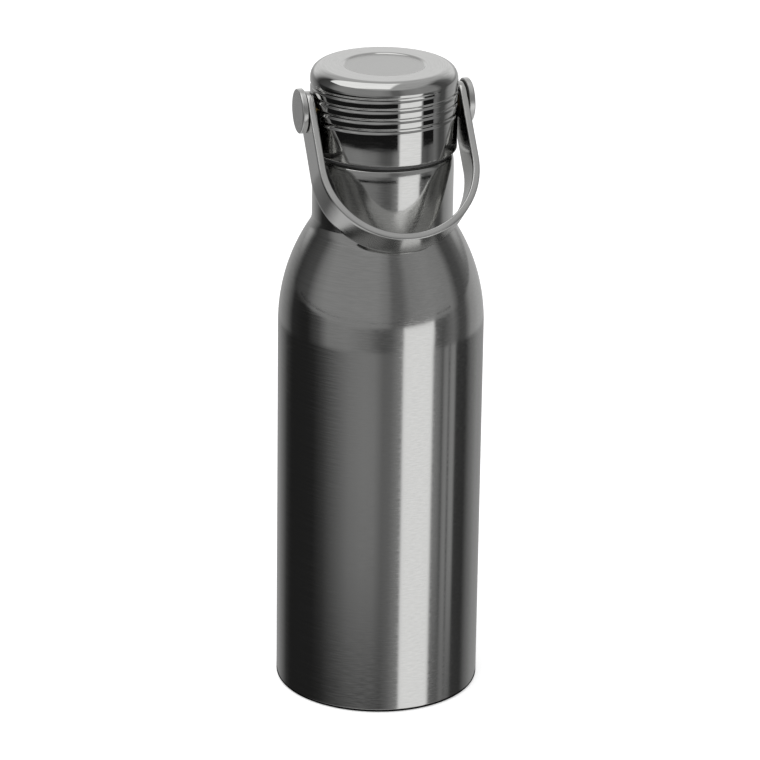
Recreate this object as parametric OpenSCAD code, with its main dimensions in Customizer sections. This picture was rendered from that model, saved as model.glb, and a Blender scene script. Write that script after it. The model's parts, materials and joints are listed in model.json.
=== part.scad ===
// Double-walled drinking bottle with a screw cap and a strap handle.
// Origin: centre of the base, on the plane it stands on. +Z up, the handle pivots about X
// and rests against the front of the neck, towards -Y.

/* [Body] */
// Outer diameter of the cylindrical body
body_d = 70; // [66:0.5:74]
// Height at which the body starts to curve into the shoulder
shoulder_start_z = 131; // [120:1:140]
// Radius of the convex arc of the shoulder, seen from the side
shoulder_r = 64; // [60:1:68]
// Radius of the hollow curve between shoulder and neck
neck_root_r = 7; // [5:0.5:9]
// Outer diameter of the straight neck
neck_d = 47.5; // [46:0.5:48]
// Height of the rim that the cap closes on
rim_z = 191.6; // [188:0.2:191.6]
// Radius of the rounded outer edge of the rim
rim_round_r = 1.9; // [1.2:0.1:2]

/* [Sheet metal] */
// Wall thickness of the outer steel parts
outer_wall = 0.6; // [0.5:0.05:0.7]
// Wall thickness of the inner liner
liner_wall = 0.5; // [0.4:0.05:0.6]
// Width of the evacuated gap between the two walls
vacuum_gap = 2.0; // [1.6:0.1:2.2]
// Outer corner radius at the foot of the bottle
foot_round_r = 1.5; // [1.2:0.1:1.8]
// Width of the flat ring that the bottle stands on
foot_flat_w = 1.9; // [1.5:0.1:2.5]
// Height of the recessed disc of the base above the foot ring
base_recess = 1.8; // [1.6:0.1:2]

/* [Cap] */
// Outer diameter of the cap
cap_d = 49.3; // [49:0.1:49.4]
// Height of the cap's lower edge
cap_bottom_z = 193.1; // [193:0.1:194]
// Height of the cap's top
cap_top_z = 221.3; // [220:0.1:222]
// Radius of the cap's rounded upper edge
cap_round_r = 4.4; // [3.5:0.1:5]
// Diameter of the shallow round recess in the cap's top
recess_d = 27.2; // [20:0.2:32]
// Depth of that recess
recess_depth = 0.5; // [0.3:0.1:0.6]
// Number of grip grooves round the cap
groove_count = 4; // [3:1:4]
// Height of the lowest groove
groove_first_z = 205.3; // [204.8:0.1:206]
// Distance between grooves
groove_pitch = 3.5; // [3.2:0.1:3.6]
// Depth of a groove
groove_depth = 0.45; // [0.3:0.05:0.5]
// Width of a groove at the surface
groove_w = 1.5; // [1.2:0.1:1.8]

/* [Stopper] */
// Outer diameter over the stopper's thread crests
plug_d = 40.4; // [40:0.1:40.6]
// Height of the lowest point of the stopper
plug_bottom_z = 175.2; // [174:0.2:178]
// Thickness of the plastic walls
plastic_wall = 1.8; // [1.5:0.1:2]

/* [Handle] */
// Height of the handle's pivot axis
pivot_z = 207; // [206:0.5:208]
// Width of the handle strap
strap_w = 13; // [11:0.5:14]
// Thickness of the handle strap
strap_t = 2.3; // [2:0.1:2.5]
// Distance between the inner faces of the handle's arms
strap_inner_span = 50.3; // [50.2:0.1:51]
// Length of the straight arms, from the pivot axis to the start of the bend
arm_len = 22.9; // [22.5:0.1:24]
// Angle between the resting handle and straight down
rest_angle = 39; // [39:0.5:50]
// Diameter of the pivot stud's flat head
stud_head_d = 15; // [13:0.5:16]

/* [Hidden] */
$fn = 96;
over = 1; // how far a cutting shape runs past what it cuts, or a joined one into its neighbour

// bottle outline: a vertical wall, the shoulder arc, the neck root arc and the neck
body_r = body_d / 2;
neck_r = neck_d / 2;
shoulder_c = [body_r - shoulder_r, shoulder_start_z];
root_cx = neck_r + neck_root_r;
root_rise = sqrt(pow(shoulder_r + neck_root_r, 2) - pow(root_cx - shoulder_c.x, 2));
root_c = [root_cx, shoulder_start_z + root_rise];
blend_dir = (root_c - shoulder_c) / (shoulder_r + neck_root_r);
liner_off = outer_wall + vacuum_gap;

// heights inside the foot of the bottle
middle_base_z = 3.6;
middle_flange_top_z = 8;
liner_bottom_z = 6;
liner_joint_z = 12;
liner_corner_r = 4;
seal_r = 2;
seal_bead_r = 3;
seal_bead_h = 0.7;
getter_r = 5;
getter_h = 1.2;

// cap and stopper
cap_r = cap_d / 2;
recess_slope = 0.8;
groove_floor_w = 0.3;
groove_zone_z = groove_first_z - groove_w - 0.5;
core_band_r = cap_r - outer_wall;
core_upper_r = core_band_r - 0.55;
core_upper_top_z = 215;
core_floor_t = 2.4;
plug_r = plug_d / 2;
plug_in_r = plug_r - plastic_wall;
floor_plate_h = 0.8;
floor_spigot_h = 2.3;
foam_gap = 0.2;
foam_step_z = 199;
foam_upper_r = 14;
foam_top_z = 219;
gasket_in_r = plug_r + 0.3;
gasket_out_r = 22.9;
face_gap = 0.03; // left between flat faces that turn against each other

// pivots
insert_r = 3.5;
insert_in_x = 16;
insert_out_x = cap_r + 0.1;
boss_r = 5.5;
boss_in_x = 15;
boss_out_x = 22.6;
shank_r = 2;
shank_in_x = 17;
journal_r = 2.5;
bush_clearance = 0.06;
bush_out_r = 3.2;
washer_bore_r = 2.6;
inner_washer_r = 5.5;
outer_washer_r = 6.8;
strap_in_x = strap_inner_span / 2;
strap_out_x = strap_in_x + strap_t;
washer_gap = 0.05; // left between a washer and what turns beside it
head_in_x = strap_out_x + 0.3;
head_t = 2;
head_bevel = 0.4;

// What the bottle's outline encloses, moved inwards by off, between the heights low and high
module outline(off, low, high) {
    shoulder_top = shoulder_c + (shoulder_r - off) * blend_dir;
    intersection() {
        translate([0, low]) square([body_r + over, high - low]);
        union() {
            square([body_r - off, shoulder_start_z]);
            intersection() {
                translate(shoulder_c) circle(shoulder_r - off, $fn = 360);
                translate([0, shoulder_start_z - over])
                    square([body_r - off, shoulder_top.y - shoulder_start_z + 2 * over]);
            }
            difference() {
                polygon([
                    [0, shoulder_top.y], shoulder_top, root_c,
                    [neck_r - off, root_c.y], [0, root_c.y]
                ]);
                translate(root_c) circle(neck_root_r + off);
            }
            translate([0, root_c.y - over]) square([neck_r - off, rim_z - root_c.y + over]);
        }
    }
}

// A quarter of a ring of outer radius r and thickness t, towards +X and -Z of its centre
module quarter_sheet(r, t) {
    intersection() {
        difference() {
            circle(r);
            circle(r - t);
        }
        translate([0, -r]) square([r, r]);
    }
}

// Half section of a cup of outer radius r, open below, its upper edge rounded
module cup_section(r, low, high, round_r) {
    translate([0, low]) square([r, high - round_r - low]);
    translate([0, low]) square([r - round_r, high - low]);
    intersection() {
        translate([r - round_r, high - round_r]) circle(round_r);
        translate([0, high - round_r - over]) square([r, round_r + over]);
    }
}

// The notches that the grooves cut in a wall of outer radius r
module groove_notches(r) {
    for (i = [0 : groove_count - 1])
        translate([r, groove_first_z + i * groove_pitch])
            polygon([
                [over, -groove_w / 2], [0, -groove_w / 2],
                [-groove_depth, -groove_floor_w / 2], [-groove_depth, groove_floor_w / 2],
                [0, groove_w / 2], [over, groove_w / 2]
            ]);
}

// The recess pressed into a face at height top
module recess_notch(top) {
    outer_r = recess_d / 2 + recess_slope / 2;
    polygon([
        [0, top + over], [outer_r, top + over], [outer_r, top],
        [outer_r - recess_slope, top - recess_depth], [0, top - recess_depth]
    ]);
}

// One surface of the pressed cap, as the section of what it encloses
module cap_section(off, low) {
    difference() {
        cup_section(cap_r - off, low, cap_top_z - off, cap_round_r - off);
        groove_notches(cap_r - off);
        recess_notch(cap_top_z - off);
    }
}

// Children turned to lie along X from the pivot axis, once towards each side
module both_pivots() {
    for (side = [0, 1])
        mirror([side, 0, 0]) translate([0, 0, pivot_z]) rotate([0, 90, 0]) children();
}

// A round bar along the turned axis, from a to b
module bar(r, a, b) {
    translate([0, 0, a]) cylinder(r = r, h = b - a);
}

// A washer or sleeve along the turned axis, from a to b
module ring(r_out, r_in, a, b) {
    difference() {
        bar(r_out, a, b);
        bar(r_in, a - over, b + over);
    }
}

// What the outer wall encloses at a depth of off below its surface, with the rounded rim
module rimmed_outline(off, low) {
    rim_c = [neck_r - rim_round_r, rim_z - rim_round_r];
    outline(off, low, rim_c.y);
    translate([0, rim_c.y - over]) square([rim_c.x, rim_round_r + over - off]);
    intersection() {
        translate(rim_c) circle(rim_round_r - off);
        translate([0, rim_c.y - over]) square([neck_r - off, rim_round_r + over]);
    }
}

// Drawn outer wall with the shoulder, the neck and the rolled rim
module outer_shell() {
    mouth_r = neck_r - liner_off;
    color("silver") rotate_extrude() difference() {
        rimmed_outline(0, foot_round_r);
        rimmed_outline(outer_wall, 0);
        translate([0, rim_z - outer_wall - over]) square([mouth_r, outer_wall + 2 * over]);
    }
}

// Pressed bottom of the outer wall: rounded foot ring and recessed disc
module outer_base() {
    foot_out = body_r - foot_round_r;
    foot_in = foot_out - foot_flat_w;
    riser_r = foot_in - foot_round_r;
    color("silver") rotate_extrude() {
        translate([foot_out, foot_round_r]) quarter_sheet(foot_round_r, outer_wall);
        translate([foot_in, 0]) square([foot_flat_w, outer_wall]);
        translate([foot_in, foot_round_r]) mirror([1, 0]) quarter_sheet(foot_round_r, outer_wall);
        translate([riser_r, foot_round_r])
            square([outer_wall, base_recess + outer_wall - foot_round_r]);
        translate([0, base_recess]) square([riser_r + outer_wall, outer_wall]);
    }
}

// Flanged disc that closes the evacuated space
module middle_base() {
    disc_r = body_r - outer_wall;
    color("gainsboro") rotate_extrude() {
        translate([seal_r, middle_base_z]) square([disc_r - seal_r, outer_wall]);
        translate([disc_r - outer_wall, middle_base_z])
            square([outer_wall, middle_flange_top_z - middle_base_z]);
    }
}

// Bead of solder glass in the hole that the air was drawn out through
module vacuum_seal() {
    color("dimgray") rotate_extrude() {
        translate([0, middle_base_z]) square([seal_r, outer_wall]);
        translate([0, middle_base_z - seal_bead_h]) square([seal_bead_r, seal_bead_h]);
    }
}

// Pill that takes up the last gas in the evacuated space
module getter() {
    color("gray")
        translate([2 * getter_r, 0, middle_base_z + outer_wall]) cylinder(r = getter_r, h = getter_h);
}

// Inner wall, from its bottom joint to the rim
module inner_liner() {
    color("lightgray") rotate_extrude() difference() {
        outline(liner_off, liner_joint_z, rim_z);
        outline(liner_off + liner_wall, 0, rim_z + over);
    }
}

// Rounded cup that closes the inner wall below
module liner_bottom() {
    outer_r = body_r - liner_off;
    color("lightgray") rotate_extrude() mirror([0, 1]) difference() {
        cup_section(outer_r, -liner_joint_z, -liner_bottom_z, liner_corner_r);
        cup_section(outer_r - liner_wall, -liner_joint_z - over, -liner_bottom_z - liner_wall,
            liner_corner_r - liner_wall);
    }
}

// Silicone ring between rim and cap
module mouth_gasket() {
    color("dimgray") rotate_extrude()
        translate([gasket_in_r, rim_z + face_gap])
            square([gasket_out_r - gasket_in_r, cap_bottom_z - rim_z - 2 * face_gap]);
}

// Pressed steel cover of the cap, with its grooves, recess and two pivot holes
module cap_shell() {
    color("silver") difference() {
        rotate_extrude() difference() {
            cap_section(0, cap_bottom_z);
            cap_section(outer_wall, cap_bottom_z - over);
        }
        both_pivots() bar(insert_r, insert_in_x, cap_r + over);
    }
}

// Plastic body of the cap: the wall inside the cover, the stopper and the pivot bosses
module cap_core() {
    color("darkslategray") difference() {
        union() {
            rotate_extrude() {
                translate([plug_in_r, plug_bottom_z + floor_plate_h])
                    square([plastic_wall, cap_bottom_z - plug_bottom_z - floor_plate_h]);
                translate([plug_in_r, cap_bottom_z]) square([core_band_r - plug_in_r, core_floor_t]);
                translate([core_band_r - plastic_wall, cap_bottom_z])
                    square([plastic_wall, groove_zone_z - cap_bottom_z]);
                translate([core_band_r - plastic_wall, groove_zone_z])
                    square([core_upper_r - core_band_r + plastic_wall, core_upper_top_z - groove_zone_z]);
            }
            both_pivots() bar(boss_r, boss_in_x, boss_out_x);
        }
        both_pivots() bar(insert_r, insert_in_x, cap_r + over);
    }
}

// Plate that closes the stopper below
module plug_floor() {
    color("darkslategray") {
        translate([0, 0, plug_bottom_z]) cylinder(r = plug_r, h = floor_plate_h);
        translate([0, 0, plug_bottom_z + floor_plate_h]) cylinder(r = plug_in_r, h = floor_spigot_h);
    }
}

// Insulating foam inside the cap
module cap_foam() {
    foam_low_z = plug_bottom_z + floor_plate_h + floor_spigot_h;
    color("white") {
        translate([0, 0, foam_low_z]) cylinder(r = plug_in_r - foam_gap, h = foam_step_z - foam_low_z);
        translate([0, 0, foam_step_z]) cylinder(r = foam_upper_r, h = foam_top_z - foam_step_z);
    }
}

// Metal sleeves set into the cap, which the studs are pressed into
module pivot_inserts() {
    color("goldenrod") both_pivots() ring(insert_r, shank_r, insert_in_x, insert_out_x);
}

// Studs with a flat round head: shank, journal for the handle, bevelled head
module pivot_studs() {
    head_r = stud_head_d / 2;
    color("lightgray") both_pivots() {
        bar(shank_r, shank_in_x, insert_out_x);
        bar(journal_r, insert_out_x, head_in_x);
        bar(head_r, head_in_x, head_in_x + head_t - head_bevel);
        translate([0, 0, head_in_x + head_t - head_bevel])
            cylinder(r1 = head_r, r2 = head_r - head_bevel, h = head_bevel);
    }
}

// Thin washers between cap and handle
module inner_washers() {
    color("black") both_pivots()
        ring(inner_washer_r, washer_bore_r, insert_out_x + washer_gap, strap_in_x - washer_gap);
}

// Thin washers between handle and stud head
module outer_washers() {
    color("black") both_pivots()
        ring(outer_washer_r, washer_bore_r, strap_out_x + washer_gap, head_in_x - washer_gap);
}

// Plastic bushes in the handle's eyes
module bail_bushes() {
    color("black") both_pivots()
        ring(bush_out_r, journal_r + bush_clearance, strap_in_x, strap_out_x);
}

// Half of the strap handle on +X, hanging straight down from the pivot axis
module half_bail() {
    rotate([0, 90, 0]) ring(strap_w / 2, bush_out_r, strap_in_x, strap_out_x);
    difference() {
        translate([strap_in_x, -strap_w / 2, -arm_len]) cube([strap_t, strap_w, arm_len]);
        rotate([0, 90, 0]) bar(strap_w / 2, strap_in_x - over, strap_out_x + over);
    }
    translate([0, 0, -arm_len]) rotate([90, 0, 0]) translate([0, 0, -strap_w / 2])
        rotate_extrude(angle = -90) translate([strap_in_x, 0]) square([strap_t, strap_w]);
}

// Handle bent from one flat strap, resting forward against the neck
module bail() {
    color("darkgray") translate([0, 0, pivot_z]) rotate([-rest_angle, 0, 0]) {
        half_bail();
        mirror([1, 0, 0]) half_bail();
    }
}

outer_shell();
outer_base();
middle_base();
vacuum_seal();
getter();
inner_liner();
liner_bottom();
mouth_gasket();
cap_shell();
cap_core();
plug_floor();
cap_foam();
pivot_inserts();
pivot_studs();
inner_washers();
outer_washers();
bail_bushes();
bail();
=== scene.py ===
"""Looks of a double-walled steel drinking bottle with a screw cap and a strap handle.

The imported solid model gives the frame. Sizes of the bottle are in millimetres unless a name says
otherwise, and finished() scales each mesh to metres. The studio's sizes are in metres.
"""

import json
import logging
import math
from abc import ABC, abstractmethod
from collections.abc import Sequence
from dataclasses import dataclass, field
from enum import Enum

import bmesh
import bpy
from mathutils import Matrix, Quaternion, Vector


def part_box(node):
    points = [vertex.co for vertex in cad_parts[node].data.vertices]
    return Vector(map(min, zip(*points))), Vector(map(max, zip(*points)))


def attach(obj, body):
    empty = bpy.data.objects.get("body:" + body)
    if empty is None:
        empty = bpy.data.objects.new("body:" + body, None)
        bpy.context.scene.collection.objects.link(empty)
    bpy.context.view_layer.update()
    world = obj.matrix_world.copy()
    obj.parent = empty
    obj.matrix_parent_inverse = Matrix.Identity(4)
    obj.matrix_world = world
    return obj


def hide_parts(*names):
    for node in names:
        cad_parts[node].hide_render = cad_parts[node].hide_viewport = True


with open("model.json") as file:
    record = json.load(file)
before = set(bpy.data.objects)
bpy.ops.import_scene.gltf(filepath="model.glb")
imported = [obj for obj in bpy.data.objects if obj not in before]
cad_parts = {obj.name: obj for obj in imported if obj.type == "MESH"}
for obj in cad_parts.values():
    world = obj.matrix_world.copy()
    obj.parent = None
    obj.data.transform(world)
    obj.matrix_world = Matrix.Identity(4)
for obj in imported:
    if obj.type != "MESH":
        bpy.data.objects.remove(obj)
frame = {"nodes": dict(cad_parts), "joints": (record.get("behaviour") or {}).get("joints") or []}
LOG = logging.getLogger("bottle")

MM = 0.001
SAME_POINT = 1e-4  # points closer than this are one point
SEAM = 0.01  # points of two mirrored halves that are closer than this are one point
SHARP_ANGLE = math.radians(38)

Point = tuple[float, float]


def node_box(node: str) -> tuple[Vector, Vector]:
    """Give a solid-model node's box.

    Args:
        node: Name of the node.

    Returns:
        Its lowest and highest corner, in millimetres.
    """
    low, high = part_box(node)
    return low / MM, high / MM


def joint_place(name: str) -> Vector:
    """Give the point that a joint turns about.

    Args:
        name: Name of the joint.

    Returns:
        The point, in millimetres.
    """
    for joint in frame["joints"]:
        if joint["name"] == name:
            return Vector(joint["pos_m"]) / MM
    raise KeyError(name)


# ---------------------------------------------------------------- finishes


class Grain(Enum):
    """Which way the fine lines of a worked surface run."""

    ROUND_BOTTLE = "turned round the bottle's axis"
    ROUND_PIVOT = "turned round the handle's pivot axis"
    ALONG_STRAP = "drawn along the handle's strap"


class Graph:
    """A material's or the surround's node tree, with short ways to add to it."""

    def __init__(self, tree: bpy.types.NodeTree) -> None:
        """Empty the tree.

        Args:
            tree: The node tree to build in.
        """
        self.tree = tree
        tree.nodes.clear()

    def add(self, kind: str, **settings: object) -> bpy.types.Node:
        """Add a node.

        Args:
            kind: The node's type name.
            settings: Properties to set on it.

        Returns:
            The new node.
        """
        made = self.tree.nodes.new(kind)
        for name, value in settings.items():
            setattr(made, name, value)
        return made

    def join(self, source: bpy.types.NodeSocket, target: bpy.types.NodeSocket) -> None:
        """Link an output to an input."""
        self.tree.links.new(source, target)

    def put(self, target: bpy.types.NodeSocket, value: object) -> None:
        """Feed an input from a socket, or set it to a constant."""
        if isinstance(value, bpy.types.NodeSocket):
            self.join(value, target)
        else:
            target.default_value = value

    def math(self, operation: str, *values: object) -> bpy.types.NodeSocket:
        """Add a Math node.

        Args:
            operation: What it works out.
            values: Its inputs, sockets or numbers.

        Returns:
            Its result.
        """
        made = self.add("ShaderNodeMath", operation=operation)
        for target, value in zip(made.inputs, values):
            self.put(target, value)
        return made.outputs[0]

    def plus(self, left: object, right: object) -> bpy.types.NodeSocket:
        """Add two numbers."""
        return self.math("ADD", left, right)

    def times(self, left: object, right: object) -> bpy.types.NodeSocket:
        """Multiply two numbers."""
        return self.math("MULTIPLY", left, right)

    def blend(self, low: object, high: object, share: object) -> bpy.types.NodeSocket:
        """Mix two numbers.

        Args:
            low: The result at a share of 0.
            high: The result at a share of 1.
            share: How far along the result lies.

        Returns:
            The mixed number.
        """
        made = self.add("ShaderNodeMix", data_type="FLOAT")
        self.put(made.inputs["Factor"], share)
        self.put(made.inputs["A"], low)
        self.put(made.inputs["B"], high)
        return made.outputs["Result"]

    def spread(
        self, value: object, start: float, end: float, low: float = 0.0, high: float = 1.0
    ) -> bpy.types.NodeSocket:
        """Stretch a number from one range to another, held at the ends.

        Args:
            value: The number.
            start: Its value that gives low.
            end: Its value that gives high.
            low: The result at start.
            high: The result at end.

        Returns:
            The stretched number.
        """
        made = self.add("ShaderNodeMapRange", clamp=True)
        names = ("Value", "From Min", "From Max", "To Min", "To Max")
        for name, number in zip(names, (value, start, end, low, high)):
            self.put(made.inputs[name], number)
        return made.outputs["Result"]

    def split(self, place: bpy.types.NodeSocket) -> tuple[bpy.types.NodeSocket, ...]:
        """Take a vector apart into its three numbers."""
        made = self.add("ShaderNodeSeparateXYZ")
        self.join(place, made.inputs[0])
        return tuple(made.outputs)

    def vector(self, x: object, y: object, z: object) -> bpy.types.NodeSocket:
        """Join three numbers into a vector."""
        made = self.add("ShaderNodeCombineXYZ")
        for target, value in zip(made.inputs, (x, y, z)):
            self.put(target, value)
        return made.outputs[0]

    def noise(self, place: bpy.types.NodeSocket, scale: float, detail: float = 2.0) -> bpy.types.NodeSocket:
        """Add a noise texture.

        Args:
            place: The coordinates that it is read at.
            scale: Its cells per unit of those coordinates.
            detail: How many finer layers it has.

        Returns:
            Its value, from 0 to 1.
        """
        made = self.add("ShaderNodeTexNoise")
        self.join(place, made.inputs["Vector"])
        made.inputs["Scale"].default_value = scale
        made.inputs["Detail"].default_value = detail
        return made.outputs["Fac"]

    def object_place(self) -> bpy.types.NodeSocket:
        """Give the shaded point in the object's own coordinates, in metres."""
        return self.add("ShaderNodeTexCoord").outputs["Object"]


class Surface(Graph):
    """A material's node tree round its one surface shader."""

    def __init__(self, tree: bpy.types.NodeTree) -> None:
        """Empty the tree and add the shader.

        Args:
            tree: The material's node tree.
        """
        super().__init__(tree)
        self.shader = self.add("ShaderNodeBsdfPrincipled")
        output = self.add("ShaderNodeOutputMaterial")
        self.join(self.shader.outputs[0], output.inputs["Surface"])

    def feed(self, name: str, value: object) -> None:
        """Feed one of the shader's inputs from a socket, or set it to a constant."""
        self.put(self.shader.inputs[name], value)

    def paint(self, colour: Sequence[float], drift: bpy.types.NodeSocket, depth: float) -> None:
        """Colour the surface with slight drifts of brightness.

        Args:
            colour: The middle colour, linear.
            drift: A value from 0 to 1 over the surface.
            depth: The drift's share of the brightness.
        """
        ramp = self.add("ShaderNodeValToRGB")
        for stop, share in zip(ramp.color_ramp.elements, (1 - depth, 1 + depth)):
            stop.color = (*(part * share for part in colour), 1)
        self.join(drift, ramp.inputs["Fac"])
        self.feed("Base Color", ramp.outputs["Color"])

    def emboss(self, height: bpy.types.NodeSocket, depth_um: float) -> None:
        """Raise the surface by a height map.

        Args:
            height: The height, from 0 to 1.
            depth_um: What a height of 1 stands for, in micrometres.
        """
        bump = self.add("ShaderNodeBump")
        bump.inputs["Strength"].default_value = 1.0
        bump.inputs["Distance"].default_value = depth_um * 1e-6
        self.join(height, bump.inputs["Height"])
        self.feed("Normal", bump.outputs["Normal"])


class Finish(ABC):
    """A surface finish, which makes its material once."""

    name: str

    def material(self) -> bpy.types.Material:
        """Make the material, or give it if it is there already.

        Returns:
            The material with its nodes.
        """
        known = bpy.data.materials.get(self.name)
        if known is not None:
            return known
        made = bpy.data.materials.new(self.name)
        made.use_nodes = True
        self.dress(Surface(made.node_tree))
        return made

    @abstractmethod
    def dress(self, surface: Surface) -> None:
        """Add the finish's own nodes.

        Args:
            surface: The material's nodes.
        """


@dataclass(frozen=True)
class WorkedMetal(Finish):
    """Metal that was turned, brushed or drawn, so fine lines run one way over it.

    Attributes:
        name: The material's name.
        colour: Linear reflection colour.
        grain: The way the lines run.
        smooth: Roughness along the smoothest lines.
        rough: Roughness along the roughest lines.
        line_um: Depth of the lines, in micrometres.
        lines_per_mm: How close the lines lie.
        line_length: How long a line is before it changes, in millimetres.
        smudge: Roughness that handling adds in soft patches.
    """

    name: str
    colour: tuple[float, float, float]
    grain: Grain
    smooth: float
    rough: float
    line_um: float = 1.0
    lines_per_mm: float = 1.6
    line_length: float = 9.0
    smudge: float = 0.02

    LINE_NOISE = (0.32, 0.68)  # the noise values at the smoothest and the roughest lines
    PATCH_NOISE = (0.45, 0.75)  # the noise values where a patch starts and is full
    PATCHES_PER_M = 26.0
    TINT = 0.05  # the lines' share of the brightness
    SKEW = 0.6  # keeps the lines from repeating on the far side

    def dress(self, surface: Surface) -> None:
        """Add lines that vary roughness and height, and soft patches.

        Args:
            surface: The material's nodes.
        """
        surface.feed("Metallic", 1.0)
        lines = surface.noise(self.across_grain(surface), 1.0, 3.0)
        sharp_lines = surface.spread(lines, *self.LINE_NOISE)
        patches = surface.noise(surface.object_place(), self.PATCHES_PER_M, 1.5)
        worn = surface.spread(patches, *self.PATCH_NOISE, 0.0, self.smudge)
        base = surface.blend(self.smooth, self.rough, sharp_lines)
        surface.feed("Roughness", surface.plus(base, worn))
        surface.paint(self.colour, sharp_lines, self.TINT)
        surface.emboss(lines, self.line_um)

    def across_grain(self, graph: Graph) -> bpy.types.NodeSocket:
        """Give coordinates that change fast across the grain and slowly along it.

        Args:
            graph: The material's nodes.

        Returns:
            The coordinates.
        """
        fine, slow = self.lines_per_mm / MM, 1 / (self.line_length * MM)
        if self.grain is Grain.ALONG_STRAP:
            strap = graph.add("ShaderNodeUVMap", uv_map="strap").outputs["UV"]
            along, across, _ = graph.split(strap)
            return graph.vector(graph.times(along, slow), graph.times(across, fine), 0.0)
        centre = graph.add("ShaderNodeMapping")
        graph.join(graph.object_place(), centre.inputs["Vector"])
        x, y, z = graph.split(centre.outputs[0])
        if self.grain is Grain.ROUND_PIVOT:
            centre.inputs["Location"].default_value = (0, 0, -joint_place("bail_swing").z * MM)
            x, y, z = y, z, x
        out = graph.math("SQRT", graph.plus(graph.times(x, x), graph.times(y, y)))
        round_about = graph.plus(x, graph.times(y, self.SKEW))
        return graph.vector(graph.times(out, fine), graph.times(z, fine), graph.times(round_about, slow))


@dataclass(frozen=True)
class Moulded(Finish):
    """A moulded plastic or rubber surface with a fine even grain.

    Attributes:
        name: The material's name.
        colour: Linear colour.
        roughness: Middle roughness.
        grain_um: Depth of the mould's grain, in micrometres.
        grains_per_mm: How close the grains lie.
    """

    name: str
    colour: tuple[float, float, float]
    roughness: float
    grain_um: float = 6.0
    grains_per_mm: float = 3.0

    DRIFTS_PER_M = 90.0
    GLOSS = 0.06  # how far the roughness drifts to each side
    TINT = 0.12  # the drift's share of the brightness

    def dress(self, surface: Surface) -> None:
        """Add the grain and a slow drift of gloss.

        Args:
            surface: The material's nodes.
        """
        place = surface.object_place()
        grains = surface.noise(place, self.grains_per_mm / MM)
        drift = surface.noise(place, self.DRIFTS_PER_M)
        low, high = self.roughness - self.GLOSS, self.roughness + self.GLOSS
        surface.feed("Roughness", surface.spread(drift, 0.3, 0.7, low, high))
        surface.paint(self.colour, drift, self.TINT)
        surface.emboss(grains, self.grain_um)


@dataclass(frozen=True)
class Cellular(Finish):
    """A surface of packed cells or sintered grains.

    Attributes:
        name: The material's name.
        colour: Linear colour.
        roughness: Middle roughness.
        metallic: 1 for metal grains, 0 for others.
        cell: Size of a cell, in millimetres.
        cell_um: Depth between cells, in micrometres.
    """

    name: str
    colour: tuple[float, float, float]
    roughness: float
    metallic: float
    cell: float
    cell_um: float

    GLOSS = 0.08  # how far the roughness changes to each side within a cell
    TINT = 0.15  # the cells' share of the brightness

    def dress(self, surface: Surface) -> None:
        """Add the cells.

        Args:
            surface: The material's nodes.
        """
        surface.feed("Metallic", self.metallic)
        cells = surface.add("ShaderNodeTexVoronoi")
        surface.join(surface.object_place(), cells.inputs["Vector"])
        cells.inputs["Scale"].default_value = 1 / (self.cell * MM)
        edge = cells.outputs["Distance"]
        low, high = self.roughness - self.GLOSS, self.roughness + self.GLOSS
        surface.feed("Roughness", surface.spread(edge, 0.0, 1.0, low, high))
        surface.paint(self.colour, edge, self.TINT)
        surface.emboss(surface.math("SUBTRACT", 1.0, edge), self.cell_um)


@dataclass(frozen=True)
class Palette:
    """Every finish on the bottle."""

    body_steel: Finish = WorkedMetal(
        "brushed_body_steel", (0.62, 0.62, 0.61), Grain.ROUND_BOTTLE, 0.06, 0.15, 0.5, 2.2, 2.5
    )
    cap_steel: Finish = WorkedMetal(
        "polished_cap_steel", (0.63, 0.63, 0.62), Grain.ROUND_BOTTLE, 0.02, 0.06, 0.06, 2.2, 4.0, 0.01
    )
    disc_steel: Finish = WorkedMetal(
        "satin_disc_steel", (0.60, 0.60, 0.59), Grain.ROUND_BOTTLE, 0.28, 0.34, 0.2, 2.2, 6.0, 0.02
    )
    liner_steel: Finish = WorkedMetal(
        "liner_steel", (0.55, 0.55, 0.55), Grain.ROUND_BOTTLE, 0.22, 0.36, 2.0
    )
    strap_steel: Finish = WorkedMetal(
        "satin_strap_steel", (0.66, 0.66, 0.65), Grain.ALONG_STRAP, 0.11, 0.2, 0.5, 2.5, 6.0
    )
    stud_steel: Finish = WorkedMetal(
        "turned_stud_steel", (0.70, 0.70, 0.69), Grain.ROUND_PIVOT, 0.24, 0.36, 1.0, 3.0, 4.0
    )
    brass: Finish = WorkedMetal("insert_brass", (0.74, 0.55, 0.25), Grain.ROUND_PIVOT, 0.22, 0.4, 2.0)
    black_plastic: Finish = Moulded("black_plastic", (0.020, 0.020, 0.021), 0.45)
    nylon: Finish = Moulded("black_nylon", (0.014, 0.014, 0.014), 0.5, 4.0)
    silicone: Finish = Moulded("grey_silicone", (0.23, 0.23, 0.23), 0.6, 3.0, 5.0)
    foam: Finish = Cellular("white_foam", (0.80, 0.80, 0.78), 0.8, 0.0, 1.6, 60.0)
    getter_metal: Finish = Cellular("sintered_getter", (0.30, 0.29, 0.28), 0.6, 1.0, 0.25, 25.0)
    solder_glass: Finish = Cellular("solder_glass", (0.03, 0.03, 0.04), 0.18, 0.0, 0.9, 8.0)


# ---------------------------------------------------------------- shapes


def spin(shape: bmesh.types.BMesh, geometry: Sequence[object], centre: Sequence[float], angle: float,
         steps: int, merge: bool) -> None:
    """Sweep points and edges round a line parallel to the bottle's axis.

    Args:
        shape: The mesh.
        geometry: The points and edges.
        centre: A point on the line.
        angle: How far to sweep, in radians.
        steps: How many facets the sweep has.
        merge: Whether its end is joined to its start.
    """
    bmesh.ops.spin(shape, geom=geometry, cent=centre, axis=(0, 0, 1), dvec=(0, 0, 0), angle=angle,
                   steps=steps, use_merge=merge, use_normal_flip=False, use_duplicate=False)


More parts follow.
